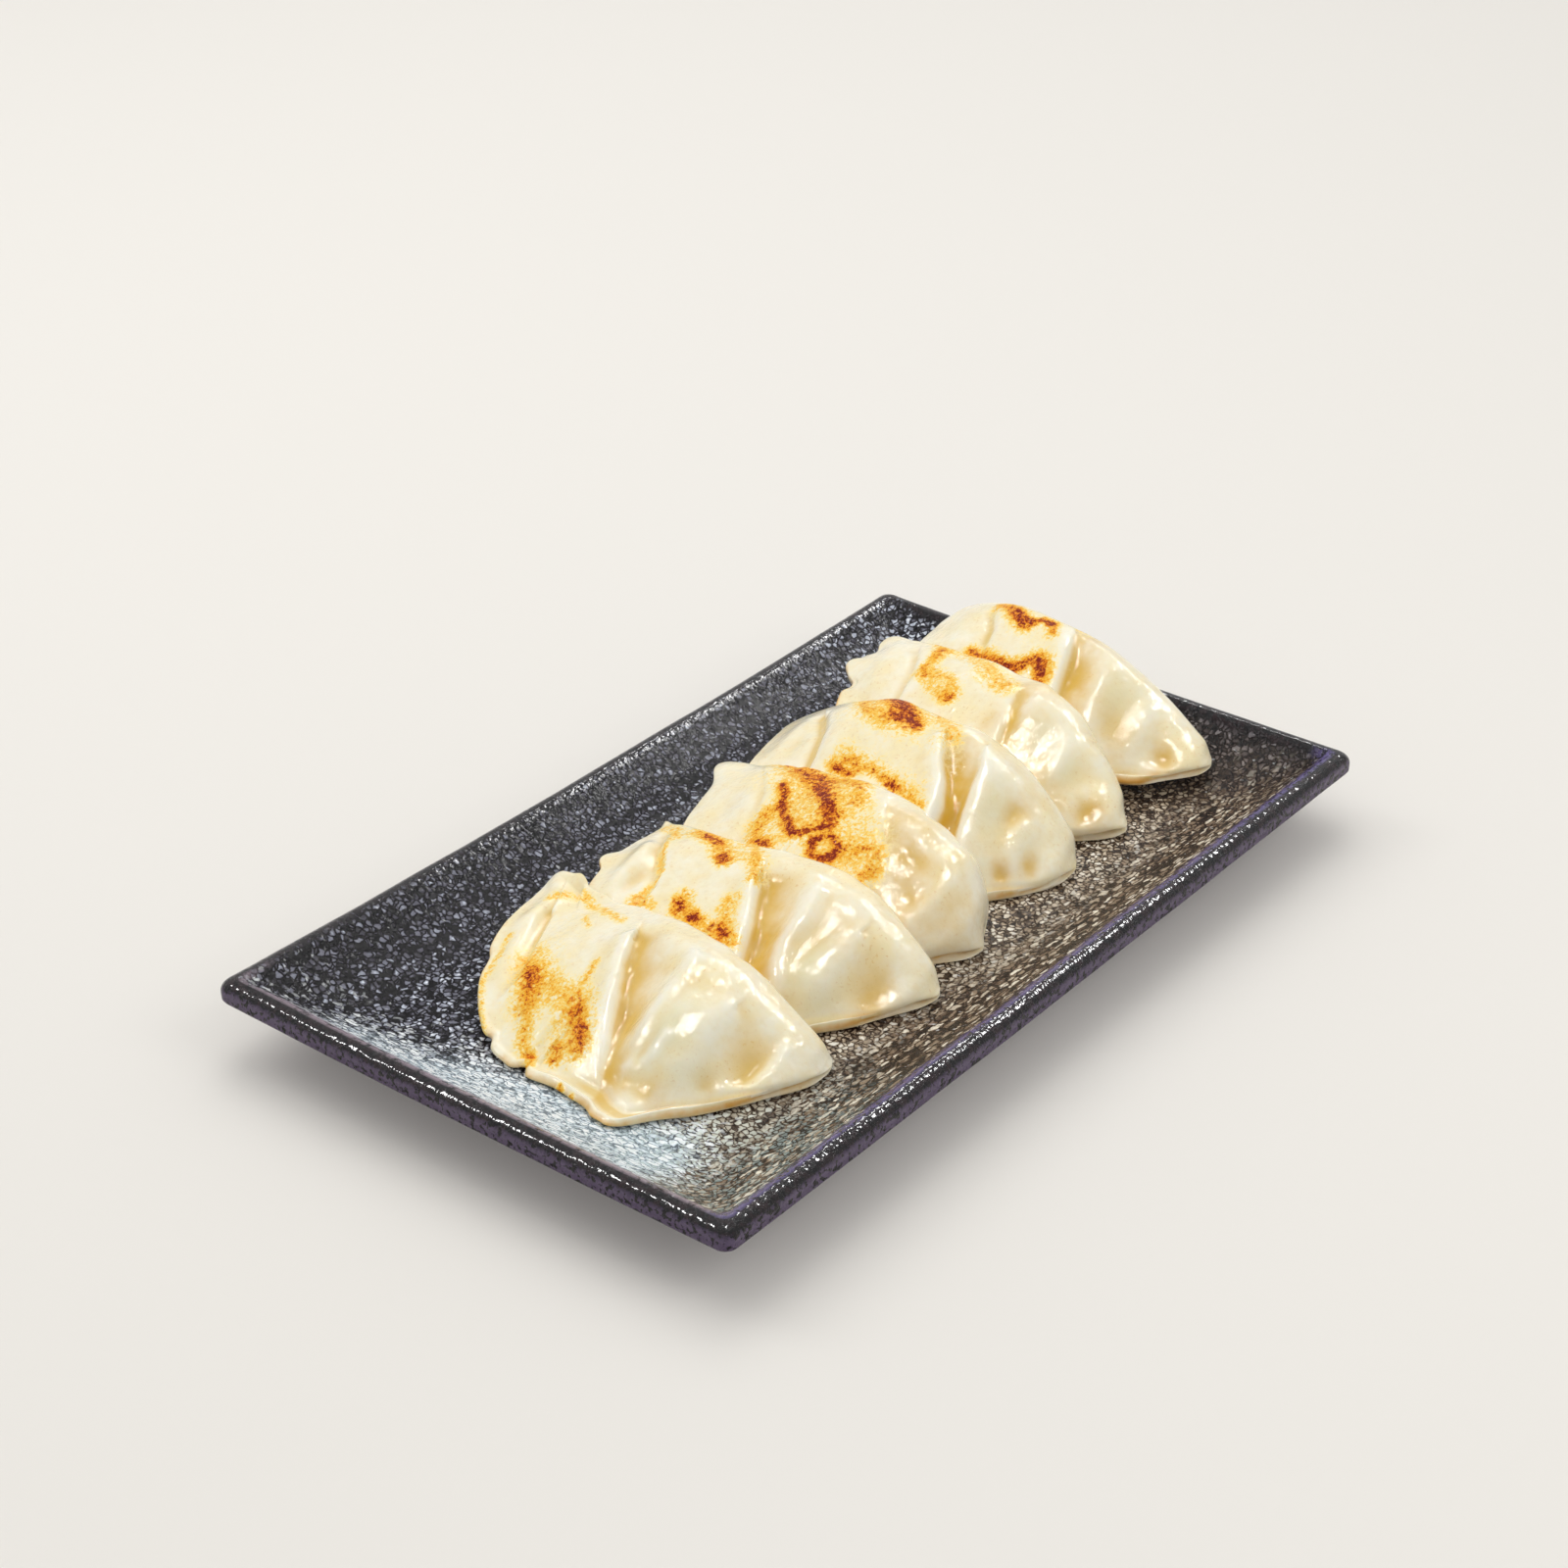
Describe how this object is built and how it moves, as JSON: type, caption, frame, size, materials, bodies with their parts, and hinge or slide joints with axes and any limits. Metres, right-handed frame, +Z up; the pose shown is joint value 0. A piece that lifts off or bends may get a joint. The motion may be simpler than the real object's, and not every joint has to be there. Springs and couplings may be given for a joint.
{
  "type": "gyoza dumplings on a plate",
  "caption": "Half-moon pan-fried gyoza with browned, pleated wrappers, leaning on one another in a row along a rectangular, dark speckled glazed plate with a raised rim.",
  "frame": {"origin": "centre of the plate's bounding box, on the plane its foot stands on", "axes": "+X along the plate's long side, from the near end to the end the row of dumplings leans back to; +Y across the plate; +Z up"},
  "size_m": [0.2178, 0.1276, 0.0314],
  "materials": {
    "plate": "black reactive glaze with pale and blue flecks, glossy inside and satin on the outer wall",
    "gyoza_1": "translucent cream wheat dough, wet with oil, browned in patches on the pan side",
    "gyoza_2": "translucent cream wheat dough, wet with oil, browned in patches on the pan side",
    "gyoza_3": "translucent cream wheat dough, wet with oil, browned in patches on the pan side",
    "gyoza_4": "translucent cream wheat dough, wet with oil, browned in patches on the pan side",
    "gyoza_5": "translucent cream wheat dough, wet with oil, browned in patches on the pan side",
    "gyoza_6": "translucent cream wheat dough, wet with oil, browned in patches on the pan side"
  },
  "bodies": {
    "root": {"plate": "plate", "gyoza_1": "gyoza_1", "gyoza_2": "gyoza_2", "gyoza_3": "gyoza_3", "gyoza_4": "gyoza_4", "gyoza_5": "gyoza_5", "gyoza_6": "gyoza_6"}
  },
  "joints": []
}
